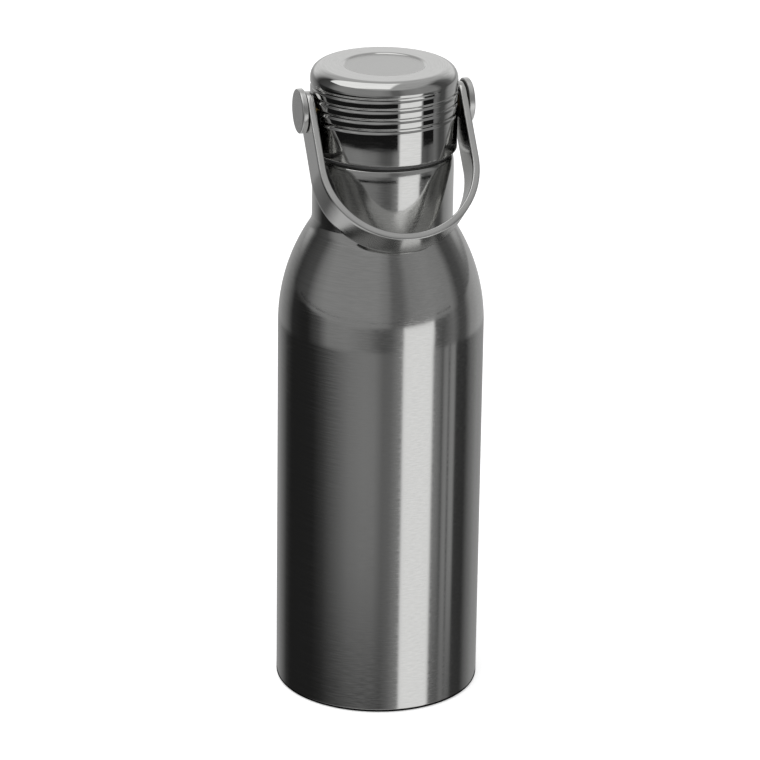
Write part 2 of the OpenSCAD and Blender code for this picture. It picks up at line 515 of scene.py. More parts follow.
def mirror_sides(shape: bmesh.types.BMesh, merge_dist: float) -> None:
    """Copy a shape to the other side of the YZ plane.

    Args:
        shape: The mesh.
        merge_dist: How close to the plane its points join up; below 0 they never do.
    """
    everything = shape.verts[:] + shape.edges[:] + shape.faces[:]
    bmesh.ops.mirror(shape, geom=everything, matrix=Matrix.Identity(4), merge_dist=merge_dist, axis="X")


def made_object(name: str, shape: bmesh.types.BMesh) -> bpy.types.Object:
    """Make a shape an object of the scene.

    Args:
        name: The object's name.
        shape: The mesh, in metres. It is freed.

    Returns:
        The object, at the origin.
    """
    mesh = bpy.data.meshes.new(name)
    shape.to_mesh(mesh)
    shape.free()
    made = bpy.data.objects.new(name, mesh)
    bpy.context.scene.collection.objects.link(made)
    return made


def finished(name: str, shape: bmesh.types.BMesh) -> bpy.types.Object:
    """Scale a shape to metres and make it an object with smooth shading and sharp corners.

    Args:
        name: The piece's name.
        shape: The mesh, in millimetres. It is freed.

    Returns:
        The object, at the origin.
    """
    bmesh.ops.scale(shape, vec=(MM, MM, MM), verts=shape.verts)
    piece = made_object(name, shape)
    piece.data.shade_smooth()
    piece.data.set_sharp_from_angle(angle=SHARP_ANGLE)
    return piece


@dataclass
class Section:
    """Half of a section through a turned part, traced point by point."""

    points: list[Point] = field(default_factory=list)

    def to(self, *points: Point, hold: float = 0.0) -> "Section":
        """Draw straight lines.

        Args:
            points: The lines' ends, each as distance from the axis and height.
            hold: If over 0, each line gets a point this far inside both its ends, which keeps
                the shading of a long wall flat up to the curve that it meets.

        Returns:
            This section.
        """
        for point in points:
            if hold and self.points:
                start, end = Vector(self.points[-1]), Vector(point)
                if (end - start).length > 2.5 * hold:
                    step = (end - start).normalized() * hold
                    self.points += [tuple(start + step), tuple(end - step)]
            self.points.append(point)
        return self

    def arc(self, centre: Point, radius: float, start: float, end: float, steps: int = 8) -> "Section":
        """Draw an arc, which counts as starting where the section stands.

        Args:
            centre: Its centre.
            radius: Its radius.
            start: Its first angle, in degrees, with 0 pointing away from the axis and 90 up.
            end: Its last angle.
            steps: How many chords it has.

        Returns:
            This section.
        """
        for i in range(steps + 1):
            angle = math.radians(start + (end - start) * i / steps)
            point = (centre[0] + radius * math.cos(angle), centre[1] + radius * math.sin(angle))
            if not self.points or math.dist(point, self.points[-1]) > SAME_POINT:
                self.points.append(point)
        return self

    def rows(self, low: Point, high: Point, spacing: float) -> "Section":
        """Draw a straight wall with evenly spaced points, for a shape to be pressed into.

        Args:
            low: Its first end.
            high: Its last end.
            spacing: The distance between points.

        Returns:
            This section.
        """
        count = max(1, round(math.dist(low, high) / spacing))
        start, end = Vector(low), Vector(high)
        return self.to(*(tuple(start.lerp(end, i / count)) for i in range(count + 1)))


@dataclass(frozen=True)
class Helix:
    """A groove or ridge that winds round the bottle's axis as a right-handed screw.

    Attributes:
        first_z: Its lowest height at the front.
        pitch: Distance between neighbouring turns.
        starts: How many separate threads wind side by side.
        turns: How many pitches it climbs from the front to its upper end.
        lead: The share of a turn before the front where it starts.
        width: Its width at the surface.
        flat: The width of its floor or crest.
        depth: How far it moves the surface: outwards above 0, inwards below.
        fade: The share of a turn over which it runs out at each end.
    """

    first_z: float
    pitch: float
    turns: float
    width: float
    flat: float
    depth: float
    starts: int = 1
    fade: float = 0.12
    lead: float = 0.0

    def shift(self, angle: float, height: float) -> float:
        """Give how far the surface moves outwards at one place.

        Args:
            angle: Angle round the axis from the front, in radians, anticlockwise from above.
            height: Height of the place.

        Returns:
            The movement.
        """
        climbed = self.starts * angle / math.tau
        rank = round((height - self.first_z) / self.pitch - climbed)
        done = rank + climbed
        off_centre = abs(height - self.first_z - done * self.pitch)
        flank = (self.width - self.flat) / 2
        across = min(max((self.width / 2 - off_centre) / flank, 0), 1)
        ends = min(max(min(done + self.lead, self.turns - done) / (self.fade * self.starts) + 0.5, 0), 1)
        return self.depth * (across * across * (3 - 2 * across)) * (ends * ends * (3 - 2 * ends))


@dataclass
class Turned:
    """A part made by turning a section round an axis.

    Attributes:
        name: The piece's name.
        section: Half its section; its ends lie on the axis, or it is closed.
        steps: How many facets lie round it.
        closed: Whether the section is a closed ring.
        onto_pivots: Whether it lies along the pivot axis, once on each side.
        press: A helix to press into the surface, with the range of radius that it acts on.
    """

    name: str
    section: Section
    steps: int
    closed: bool = False
    onto_pivots: bool = False
    press: tuple[Helix, float, float] | None = None

    def build(self) -> bpy.types.Object:
        """Turn the section and give the finished piece.

        Returns:
            The object, in metres, with its place in its mesh.
        """
        shape = bmesh.new()
        corners = [shape.verts.new((r, 0, z)) for r, z in self.section.points]
        pairs = list(zip(corners, corners[1:]))
        if self.closed:
            pairs.append((corners[-1], corners[0]))
        edges = [shape.edges.new(pair) for pair in pairs]
        spin(shape, corners + edges, (0, 0, 0), math.tau, self.steps, merge=True)
        bmesh.ops.remove_doubles(shape, verts=shape.verts, dist=SAME_POINT)
        bmesh.ops.recalc_face_normals(shape, faces=shape.faces)
        if self.press:
            self.press_helix(shape)
        if self.onto_pivots:
            self.lay_on_pivots(shape)
        return finished(self.name, shape)

    def press_helix(self, shape: bmesh.types.BMesh) -> None:
        """Move the surface in or out along the helix.

        Args:
            shape: The turned mesh.
        """
        helix, inner, outer = self.press
        for corner in shape.verts:
            radius = math.hypot(corner.co.x, corner.co.y)
            if inner <= radius <= outer:
                angle = math.atan2(corner.co.x, -corner.co.y)
                grown = (radius + helix.shift(angle, corner.co.z)) / radius
                corner.co.x *= grown
                corner.co.y *= grown

    @staticmethod
    def lay_on_pivots(shape: bmesh.types.BMesh) -> None:
        """Turn the part to lie along the pivot axis and copy it to the other side.

        Args:
            shape: The turned mesh, whose heights become distances from the middle.
        """
        place = Matrix.Translation(joint_place("bail_swing")) @ Matrix.Rotation(math.pi / 2, 4, "Y")
        bmesh.ops.transform(shape, matrix=place, verts=shape.verts)
        mirror_sides(shape, -1)
        bmesh.ops.recalc_face_normals(shape, faces=shape.faces)


class Assembly(ABC):
    """A group of pieces that are made and dressed together."""

    body: str

    @abstractmethod
    def build(self, finishes: Palette) -> None:
        """Make the pieces.

        Args:
            finishes: The finishes to dress them in.
        """

    def fit(self, piece: bpy.types.Object, finish: Finish, slot: str, *stands_for: str) -> None:
        """Dress a new piece, put it on the assembly's body and hide what it stands for.

        Args:
            piece: The piece.
            finish: Its finish.
            slot: The record's material slot that it belongs to; not used.
            stands_for: The solid-model nodes that it replaces.
        """
        piece.data.materials.clear()
        piece.data.materials.append(finish.material())
        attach(piece, self.body)
        if stands_for:
            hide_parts(*stands_for)
        LOG.info("%s: %d faces, %s, on %s", piece.name, len(piece.data.polygons), finish.name, self.body)

    def dress(self, node: str, finish: Finish) -> None:
        """Give a node that is kept as it is a finish.

        Args:
            node: The node's name.
            finish: Its finish.
        """
        piece = frame["nodes"][node]
        material = finish.material()
        if piece.data.materials:
            for i in range(len(piece.data.materials)):
                piece.data.materials[i] = material
        else:
            piece.data.materials.append(material)
        LOG.info("%s: kept, %s", node, finish.name)


# ---------------------------------------------------------------- sub-assemblies


@dataclass
class Outline:
    """The bottle's outline: wall, shoulder arc, hollow neck root and neck.

    Attributes:
        body_r: Radius of the body.
        neck_r: Radius of the neck.
        rim_z: Height of the rim.
        shoulder_z: Height where the shoulder starts.
        shoulder_arc: Radius of the shoulder's arc.
        root_arc: Radius of the hollow curve at the neck's root.
    """

    body_r: float = node_box("outer_shell")[1].x
    neck_r: float = 23.75
    rim_z: float = node_box("outer_shell")[1].z
    shoulder_z: float = 131.0
    shoulder_arc: float = 64.0
    root_arc: float = 7.0

    def climb(self, section: Section, depth: float) -> Section:
        """Draw the shoulder and the neck's root upwards, at a depth below the surface.

        Args:
            section: The section, which stands at the shoulder's start.
            depth: How far inside the surface the line runs.

        Returns:
            The section, which stands where the straight neck starts.
        """
        centre = Vector((self.body_r - self.shoulder_arc, self.shoulder_z))
        reach = self.shoulder_arc + self.root_arc
        run = self.neck_r + self.root_arc - centre.x
        lean = math.degrees(math.acos(run / reach))
        root = centre + Vector((run, math.sqrt(reach**2 - run**2)))
        section.arc(centre, self.shoulder_arc - depth, 0, lean, 40)
        return section.arc(root, self.root_arc + depth, 180 + lean, 180, 16)


@dataclass
class BottleWalls(Assembly):
    """The outer wall with its foot, and the liner inside it.

    Attributes:
        outline: The outer surface's outline.
        sheet: Thickness of the outer sheet.
        liner_sheet: Thickness of the liner.
        gap: Width of the evacuated space.
        foot_round: Radius of the foot's outer corner.
        foot_flat: Width of the ring that it stands on.
        recess: Height of the base's disc over the ring.
        rim_round: Radius of the rim's corner.
        neck_lean: How far the neck leans in where that corner starts, in degrees.
        lean_arc: Radius of the curve that leads it there.
        liner_joint_z: Height of the joint between the liner and its bottom.
        liner_floor_z: Height of the liner's underside.
        liner_corner: Radius of the liner's lower corner.
        thread: The thread rolled into the liner's neck.
    """

    outline: Outline = field(default_factory=Outline)
    body: str = "bottle"
    sheet: float = 0.6
    liner_sheet: float = 0.5
    gap: float = 2.0
    foot_round: float = 1.5
    foot_flat: float = 1.9
    recess: float = 1.8
    rim_round: float = 1.9
    neck_lean: float = 9.0
    lean_arc: float = 22.0
    liner_joint_z: float = node_box("inner_liner")[0].z
    liner_floor_z: float = node_box("liner_bottom")[0].z
    liner_corner: float = 4.0
    thread: Helix = Helix(178.5, 3.0, 3.4, 2.0, 0.5, 0.45, starts=2)

    def build(self, finishes: Palette) -> None:
        """Make the walls.

        Args:
            finishes: The finishes to dress them in.
        """
        self.fit(self.outer_wall(), finishes.body_steel, "steel_body", "outer_shell")
        self.fit(self.foot_cup(), finishes.body_steel, "steel_body", "outer_base")
        self.fit(self.liner_wall(), finishes.liner_steel, "steel_inner", "inner_liner")
        self.fit(self.liner_cup(), finishes.liner_steel, "steel_inner", "liner_bottom")
        self.dress("middle_base", finishes.liner_steel)
        self.dress("vacuum_seal", finishes.solder_glass)
        self.dress("getter", finishes.getter_metal)

    def outer_wall(self) -> bpy.types.Object:
        """Make the drawn outer wall with its rolled rim."""
        line, t, rim = self.outline, self.sheet, self.rim_round
        mouth = line.neck_r - t - self.gap
        lean = math.radians(self.neck_lean)
        inset = (self.lean_arc - rim) * (1 - math.cos(lean))
        corner = (line.neck_r - rim - inset, line.rim_z - rim)
        lean_z = corner[1] - (self.lean_arc - rim) * math.sin(lean)
        out = Section([(line.body_r, self.foot_round)])
        out.to((line.body_r, line.shoulder_z), hold=1.0)
        line.climb(out, 0)
        out.to((line.neck_r, lean_z), hold=0.3)
        out.arc((line.neck_r - self.lean_arc, lean_z), self.lean_arc, 0, self.neck_lean, 6)
        out.arc(corner, rim, self.neck_lean, 90, 12)
        out.to((mouth, line.rim_z), (mouth, line.rim_z - t), (corner[0], line.rim_z - t))
        out.arc(corner, rim - t, 90, 0, 8)
        inside = line.climb(Section([(line.body_r - t, line.shoulder_z)]), t).points
        out.to(*reversed(inside)).to((line.body_r - t, self.foot_round))
        return Turned("brushed_outer_wall", out, closed=True, steps=256).build()

    def foot_cup(self) -> bpy.types.Object:
        """Make the pressed bottom with its rounded foot ring."""
        t, r = self.sheet, self.foot_round
        outer = self.outline.body_r - r
        inner = outer - self.foot_flat
        riser, disc = inner - r, self.recess
        cup = Section([(0, disc)]).to((riser, disc), hold=0.5).to((riser, r))
        cup.arc((inner, r), r, 180, 270, 8).to((outer, 0), hold=0.2).arc((outer, r), r, 270, 360, 10)
        cup.to((outer + r - t, r)).arc((outer, r), r - t, 360, 270, 8).to((inner, t))
        cup.arc((inner, r), r - t, 270, 180, 6).to((riser + t, disc + t), (0, disc + t))
        return Turned("pressed_foot_cup", cup, steps=256).build()

    def liner_wall(self) -> bpy.types.Object:
        """Make the liner, with the thread rolled into its neck."""
        line, low, top = self.outline, self.liner_joint_z, self.outline.rim_z
        outer, inner = self.sheet + self.gap, self.sheet + self.gap + self.liner_sheet
        low_thread = self.thread.first_z - self.thread.width
        wall = Section([(line.body_r - outer, low)]).to((line.body_r - outer, line.shoulder_z))
        line.climb(wall, outer)
        wall.rows((line.neck_r - outer, low_thread), (line.neck_r - outer, top), 0.25)
        wall.rows((line.neck_r - inner, top), (line.neck_r - inner, low_thread), 0.25)
        inside = line.climb(Section([(line.body_r - inner, line.shoulder_z)]), inner).points
        wall.to(*reversed(inside)).to((line.body_r - inner, low), hold=1.0)
        press = (self.thread, 0.0, line.neck_r - outer + 0.01)
        return Turned("threaded_liner", wall, closed=True, steps=160, press=press).build()

    def liner_cup(self) -> bpy.types.Object:
        """Make the liner's rounded bottom."""
        radius = self.outline.body_r - self.sheet - self.gap
        low, high, t, corner = self.liner_floor_z, self.liner_joint_z, self.liner_sheet, self.liner_corner
        middle = (radius - corner, low + corner)
        cup = Section([(0, low)]).to((middle[0], low), hold=0.5).arc(middle, corner, 270, 360, 12)
        cup.to((radius, high), (radius - t, high), (radius - t, middle[1]))
        cup.arc(middle, corner - t, 360, 270, 12).to((0, low + t), hold=0.5)
        return Turned("liner_bottom_cup", cup, steps=160).build()


@dataclass
class MouthSeal(Assembly):
    """The silicone ring between rim and cap.

    Attributes:
        edge: Radius of its rounded corners.
        clearance: The gap between it and the stopper.
    """

    body: str = "gasket"
    edge: float = 0.35
    clearance: float = 0.3

    def build(self, finishes: Palette) -> None:
        """Make the ring.

        Args:
            finishes: The finishes to dress it in.
        """
        low, high = node_box("mouth_gasket")
        inner, outer, e = node_box("plug_floor")[1].x + self.clearance, high.x, self.edge
        ring = Section()
        for centre, start in (
            ((outer - e, low.z + e), 270), ((outer - e, high.z - e), 0),
            ((inner + e, high.z - e), 90), ((inner + e, low.z + e), 180),
        ):
            ring.arc(centre, e, start, start + 90, 4)
        piece = Turned("silicone_mouth_ring", ring, closed=True, steps=128).build()
        self.fit(piece, finishes.silicone, "silicone", "mouth_gasket")


@dataclass
class ScrewCap(Assembly):
    """The cap: grooved steel cover, plastic body with the threaded stopper, plate and foam.

    Attributes:
        radius: Radius of the cover.
        low: Height of its lower edge.
        top: Height of its top.
        sheet: Thickness of the cover.
        corner: Radius of its upper corner.
        lip: Radius of its lower edge.
        recess_r: Radius at the middle of the recess's slope.
        recess_slope: Width of that slope.
        recess_depth: Depth of the recess.
        recess_ease: How far, outwards and downwards, the slope's ends are softened.
        groove: The grip groove.
        wall: Thickness of the plastic.
        seat: Thickness of the plastic ring above the mouth.
        band_top: Height where the plastic steps in under the groove.
        band_step: How far it steps in.
        stopper_r: Radius over the stopper's thread.
        thread: The stopper's thread.
        plate: Thickness of the plate that closes the stopper.
        plate_edge: Radius of that plate's edge.
        dish: How far its middle is raised.
        gate: Radius and height of the moulding mark in the middle.
        insert_r: Radius of the holes for the inserts.
        boss_r: Radius of the bosses round them.
        boss_ends: Distances of a boss's ends from the middle.
    """

    body: str = "cap"
    radius: float = node_box("cap_shell")[1].x
    low: float = node_box("cap_shell")[0].z
    top: float = node_box("cap_shell")[1].z
    sheet: float = 0.6
    corner: float = 4.4
    lip: float = 0.3
    recess_r: float = 13.6
    recess_slope: float = 0.8
    recess_depth: float = 0.5
    recess_ease: tuple[float, float] = (0.1, 0.06)
    groove: Helix = Helix(205.3, 3.5, 3.05, 1.85, 0.5, -0.33, lead=0.45)
    wall: float = 1.8
    seat: float = 2.4
    band_top: float = 203.3
    band_step: float = 0.55
    stopper_r: float = node_box("plug_floor")[1].x
    thread: Helix = Helix(179.0, 3.0, 3.6, 2.0, 0.6, 0.6, starts=2)
    plate: float = 0.8
    plate_edge: float = 0.3
    dish: float = 0.35
    gate: tuple[float, float] = (1.2, 0.15)
    insert_r: float = 3.5
    boss_r: float = 5.5
    boss_ends: tuple[float, float] = (15.0, 22.6)

    def build(self, finishes: Palette) -> None:
        """Make the cap's pieces.

        Args:
            finishes: The finishes to dress them in.
        """
        self.fit(self.cover(), finishes.cap_steel, "steel_cap", "cap_shell")
        self.finish_disc(finishes.disc_steel)
        self.fit(self.plastic_body(), finishes.black_plastic, "plastic_core", "cap_core")
        self.fit(self.bosses(), finishes.black_plastic, "plastic_core", "cap_core")
        self.fit(self.stopper_plate(), finishes.black_plastic, "plastic_core", "plug_floor")
        self.dress("cap_foam", finishes.foam)

    def cover(self) -> bpy.types.Object:
        """Make the pressed cover with its groove and recess."""
        t, corner, lip = self.sheet, self.corner, self.lip
        middle = (self.radius - corner, self.top - corner)
        step_in, step_out = self.recess_r - self.recess_slope / 2, self.recess_r + self.recess_slope / 2
        floor = self.top - self.recess_depth
        groove_low = self.groove.first_z - self.groove.pitch
        ease, drop = self.recess_ease
        skin = Section([(0, floor)]).to((step_in - 3 * ease, floor), hold=0.5)
        skin.to((step_in + ease, floor + drop), (self.recess_r, (floor + self.top) / 2))
        skin.to((step_out - ease, self.top - drop), (step_out + 3 * ease, self.top))
        skin.to((middle[0], self.top), hold=0.4).arc(middle, corner, 90, 0, 20)
        skin.rows((self.radius, middle[1]), (self.radius, groove_low), 0.15)
        skin.to((self.radius, self.low + lip), hold=0.4)
        skin.arc((self.radius - lip, self.low + lip), lip, 0, -90, 5)
        skin.to((self.radius - t, self.low)).to((self.radius - t, middle[1]), hold=1.0)
        skin.arc(middle, corner - t, 0, 90, 10)
        skin.to((step_out, self.top - t), (step_in, floor - t), (0, floor - t))
        press = (self.groove, self.radius - 0.05, self.radius + 0.05)
        return Turned("grooved_cap_cover", skin, steps=256, press=press).build()

    def finish_disc(self, finish: Finish) -> None:
        """Give the recess's floor its own finish.

        Args:
            finish: The floor's finish.
        """
        mesh = bpy.data.objects["grooved_cap_cover"].data
        mesh.materials.append(finish.material())
        under = (self.top - self.recess_depth - self.sheet / 2) * MM
        floor_r = (self.recess_r - self.recess_slope / 2) * MM
        for face in mesh.polygons:
            if face.center.z > under and math.hypot(face.center.x, face.center.y) < floor_r:
                face.material_index = 1

    def plastic_body(self) -> bpy.types.Object:
        """Make the plastic inside the cover, with the threaded stopper below it."""
        band, t, top = self.radius - self.sheet, self.wall, node_box("cap_core")[1].z
        inner, root, upper = self.stopper_r - t, self.stopper_r - self.thread.depth, band - self.band_step
        foot, seat_top = node_box("plug_floor")[0].z + self.plate, self.low + self.seat
        part = Section([(inner, foot)]).rows((root, foot), (root, self.low), 0.2)
        part.to((band, self.low), (band, self.band_top), (upper, self.band_top), (upper, top))
        part.to((band - t, top), (band - t, seat_top), (inner, seat_top))
        press = (self.thread, root - 0.05, root + 0.05)
        return Turned("threaded_stopper_body", part, closed=True, steps=160, press=press).build()

    def bosses(self) -> bpy.types.Object:
        """Make the two bosses that hold the pivot inserts."""
        inner, outer, (start, end) = self.insert_r, self.boss_r, self.boss_ends
        ring = Section([(inner, start), (outer, start), (outer, end), (inner, end)])
        return Turned("pivot_bosses", ring, closed=True, steps=64, onto_pivots=True).build()

    def stopper_plate(self) -> bpy.types.Object:
        """Make the plate below the stopper, with a raised rim and a gate mark."""
        (_, _, low), (_, _, high) = node_box("plug_floor")
        r, edge, (gate_r, gate_h) = self.stopper_r, self.plate_edge, self.gate
        dished, top, spigot = low + self.dish, low + self.plate, self.stopper_r - self.wall
        plate = Section([(0, dished - gate_h), (gate_r, dished - gate_h), (gate_r + 2 * gate_h, dished)])
        plate.to((r - 3.2, dished), hold=0.4).to((r - 2.6, low), (r - edge, low))
        plate.arc((r - edge, low + edge), edge, 270, 360, 5)
        plate.to((r, top), (spigot, top), (spigot, high), (0, high))
        return Turned("stopper_plate", plate, steps=128).build()


@dataclass
class PivotHardware(Assembly):
    """Studs, inserts and washers that carry the handle on the cap.

    Attributes:
        head_r: Radius of a stud's head.
        head_t: Thickness of the head.
        bevel: Radius of the head's outer edge.
        back_bevel: Width of the bevel on the head's back edge.
        journal_r: Radius that the handle turns on.
        shank_r: Radius in the insert.
        shank_in: Distance of the shank's end from the middle.
    """

    body: str = "cap"
    head_r: float = node_box("pivot_studs")[1].z - joint_place("bail_swing").z
    head_t: float = 2.0
    bevel: float = 0.45
    back_bevel: float = 0.15
    journal_r: float = 2.5
    shank_r: float = 2.0
    shank_in: float = 17.0

    def build(self, finishes: Palette) -> None:
        """Make the studs and dress the rest.

        Args:
            finishes: The finishes to dress them in.
        """
        self.fit(self.studs(), finishes.stud_steel, "steel_stud", "pivot_studs")
        self.dress("pivot_inserts", finishes.brass)
        self.dress("inner_washers", finishes.nylon)
        self.dress("outer_washers", finishes.nylon)

    def studs(self) -> bpy.types.Object:
        """Make the two studs."""
        end = node_box("pivot_studs")[1].x
        seat, journal_end = end - self.head_t, node_box("pivot_inserts")[1].x
        b, r, back, shank = self.bevel, self.head_r, self.back_bevel, self.shank_r
        stud = Section([(0, end)]).to((r - b, end), hold=0.4).arc((r - b, end - b), b, 90, 0, 6)
        stud.to((r, seat + back), (r - back, seat), hold=back).to((self.journal_r, seat))
        stud.to((self.journal_r, journal_end), (shank, journal_end))
        stud.to((shank, self.shank_in), (0, self.shank_in))
        return Turned("flat_head_studs", stud, steps=96, onto_pivots=True).build()


@dataclass
class StrapHandle(Assembly):
    """The handle: one flat strap with round eyes, bent into a U, and its bushes.

    Attributes:
        width: Width of the strap.
        thick: Its thickness.
        half_span: Distance from the middle to an arm's inner face.
        arm: Length of an arm from the pivot to the bend.
        lean: Angle between the resting handle and straight down, in degrees.
        eye_r: Radius of an eye's hole.
        edge: Radius of the strap's softened edges.
        eye_steps: Facets round an eye.
        arm_steps: Facets along an arm.
        bend_steps: Facets along half of the bend.
    """

    body: str = "bail"
    width: float = 13.0
    thick: float = 2.3
    half_span: float = node_box("bail")[1].x - thick
    arm: float = 22.9
    lean: float = 39.0
    eye_r: float = 3.2
    edge: float = 0.35
    eye_steps: int = 48
    arm_steps: int = 8
    bend_steps: int = 40

    def build(self, finishes: Palette) -> None:
        """Make the strap and dress the bushes.

        Args:
            finishes: The finishes to dress them in.
        """
        self.fit(self.strap(), finishes.strap_steel, "steel_strap", "bail")
        self.dress("bail_bushes", finishes.nylon)

    @property
    def bend_r(self) -> float:
        """Radius of the bend at the strap's middle thickness."""
        return self.half_span + self.thick / 2

    @property
    def half_length(self) -> float:
        """Length from the strap's middle to the centre of an eye."""
        return math.pi * self.bend_r / 2 + self.arm

    def strap(self) -> bpy.types.Object:
        """Make the strap flat, give it thickness and soft edges, then bend it."""
        shape = bmesh.new()
        self.lay_flat_half(shape)
        mirror_sides(shape, SEAM)
        bmesh.ops.remove_doubles(shape, verts=shape.verts, dist=SEAM)
        bmesh.ops.recalc_face_normals(shape, faces=shape.faces)
        grown = bmesh.ops.extrude_face_region(shape, geom=shape.faces[:])["geom"]
        raised = [part for part in grown if isinstance(part, bmesh.types.BMVert)]
        bmesh.ops.translate(shape, vec=(0, 0, self.thick), verts=raised)
        bmesh.ops.translate(shape, vec=(0, 0, -self.thick / 2), verts=shape.verts)
        bmesh.ops.recalc_face_normals(shape, faces=shape.faces)
        rims = [edge for edge in shape.edges if edge.calc_face_angle(0) > SHARP_ANGLE * 2]
        bmesh.ops.bevel(shape, geom=rims, offset=self.edge, offset_type="OFFSET", affect="EDGES",
                        segments=3, profile=0.5, material=-1, clamp_overlap=True)
        self.map_strap(shape)
        for corner in shape.verts:
            corner.co = self.bent(corner.co)
        turned = Matrix.Rotation(-math.radians(self.lean), 4, "X")
        place = Matrix.Translation(joint_place("bail_swing")) @ turned
        bmesh.ops.transform(shape, matrix=place, verts=shape.verts)
        bmesh.ops.recalc_face_normals(shape, faces=shape.faces)
        return finished("bent_strap_handle", shape)

    def lay_flat_half(self, shape: bmesh.types.BMesh) -> None:
        """Lay out half of the unbent strap, from its eye to its middle, along X.

        Args:
            shape: The mesh to draw in.
        """
        half = self.width / 2
        centre = self.half_length
        inner = shape.verts.new((centre + self.eye_r, 0, 0))
        outer = shape.verts.new((centre + half, 0, 0))
        spoke = shape.edges.new((inner, outer))
        spin(shape, [inner, outer, spoke], (centre, 0, 0), math.tau, self.eye_steps, merge=True)
        for corner in shape.verts:
            out, across = corner.co.x - centre, corner.co.y
            if out < -1e-6 and math.hypot(out, across) > (self.eye_r + half) / 2:
                square = half / max(abs(out), abs(across))
                corner.co = Vector((centre + out * square, across * square, 0))
        front = [edge for edge in shape.edges
                 if all(abs(end.co.x - centre + half) < SAME_POINT for end in edge.verts)]
        straight = (self.arm - half) / self.arm_steps
        bend = (self.half_length - self.arm) / self.bend_steps
        for step in [straight] * self.arm_steps + [bend] * self.bend_steps:
            grown = bmesh.ops.extrude_edge_only(shape, edges=front)["geom"]
            ends = [part for part in grown if isinstance(part, bmesh.types.BMVert)]
            bmesh.ops.translate(shape, vec=(-step, 0, 0), verts=ends)
            front = [part for part in grown if isinstance(part, bmesh.types.BMEdge)]

    def map_strap(self, shape: bmesh.types.BMesh) -> None:
        """Give the unbent strap a UV map in metres, along and across it.

        Args:
            shape: The unbent strap.
        """
        layer = shape.loops.layers.uv.new("strap")
        for face in shape.faces:
            for loop in face.loops:
                place = loop.vert.co
                loop[layer].uv = (place.x * MM, (place.y + place.z) * MM)

    def bent(self, flat: Vector) -> Vector:
        """Give where a point of the flat strap lies once the strap is bent.

        Args:
            flat: Distance along the strap from its middle, across it, and out of its face.

        Returns:
            The place in the upright handle, whose pivots lie on the X axis.
        """
        along, across, out = flat
        quarter = self.half_length - self.arm
        reach = self.bend_r + out
        if abs(along) <= quarter:
            angle = along / self.bend_r
            return Vector((reach * math.sin(angle), across, -self.arm - reach * math.cos(angle)))
        side = math.copysign(1, along)
        return Vector((side * reach, across, -self.arm + (abs(along) - quarter)))


# ---------------------------------------------------------------- studio


@dataclass(frozen=True)
class Stop:
    """A tone of the surround at an angle from the camera's side, in degrees, positive to the right."""

    angle: float
    tone: float


@dataclass(frozen=True)
class Band:
    """What the steel mirrors above one elevation, all round.

    Attributes:
        start: The elevation, in degrees.
        softness: Over how many degrees it takes over from the band below.
        stops: Its tones, in order of angle.
    """

    start: float
    softness: float
    stops: tuple[Stop, ...]


@dataclass(frozen=True)
class Ceiling:
    """The pale ceiling, the bright backdrop behind the bottle and the soft box overhead.

    A place on the box is given by how far it lies to the right and towards the camera, each as a
    share of its height over the bottle.

    Attributes:
        tone: Tone of the ceiling.
        start: Elevation where it starts, in degrees.
        softness: Over how many degrees it starts.
        behind: The shares of a turn from the camera's side where the backdrop starts and is full.
        behind_tones: Its tones below and above the elevation where it fades.
        behind_start: The elevation that it starts at and its softness.
        behind_fade: The elevation where it fades and the softness of that.
        box_tone: Tone of the box.
        box_middle: Where its middle lies.
        box_half: Its half width and half depth.
        box_edge: How soft its two pairs of sides are.
        shaded: The slope of the shaded corner's edge, and where the edge is lit and dark.
    """

    tone: float = 0.45
    start: float = 46.0
    softness: float = 12.0
    behind: tuple[float, float] = (0.35, 0.42)
    behind_tones: tuple[float, float] = (0.80, 0.5)
    behind_start: tuple[float, float] = (4.0, 8.0)
    behind_fade: tuple[float, float] = (28.0, 16.0)
    box_tone: float = 1.15
    box_middle: tuple[float, float] = (-0.62, 0.06)
    box_half: tuple[float, float] = (0.74, 0.53)
    box_edge: tuple[float, float] = (0.06, 0.05)
    shaded: tuple[float, float, float] = (1.3, -1.60, -1.68)


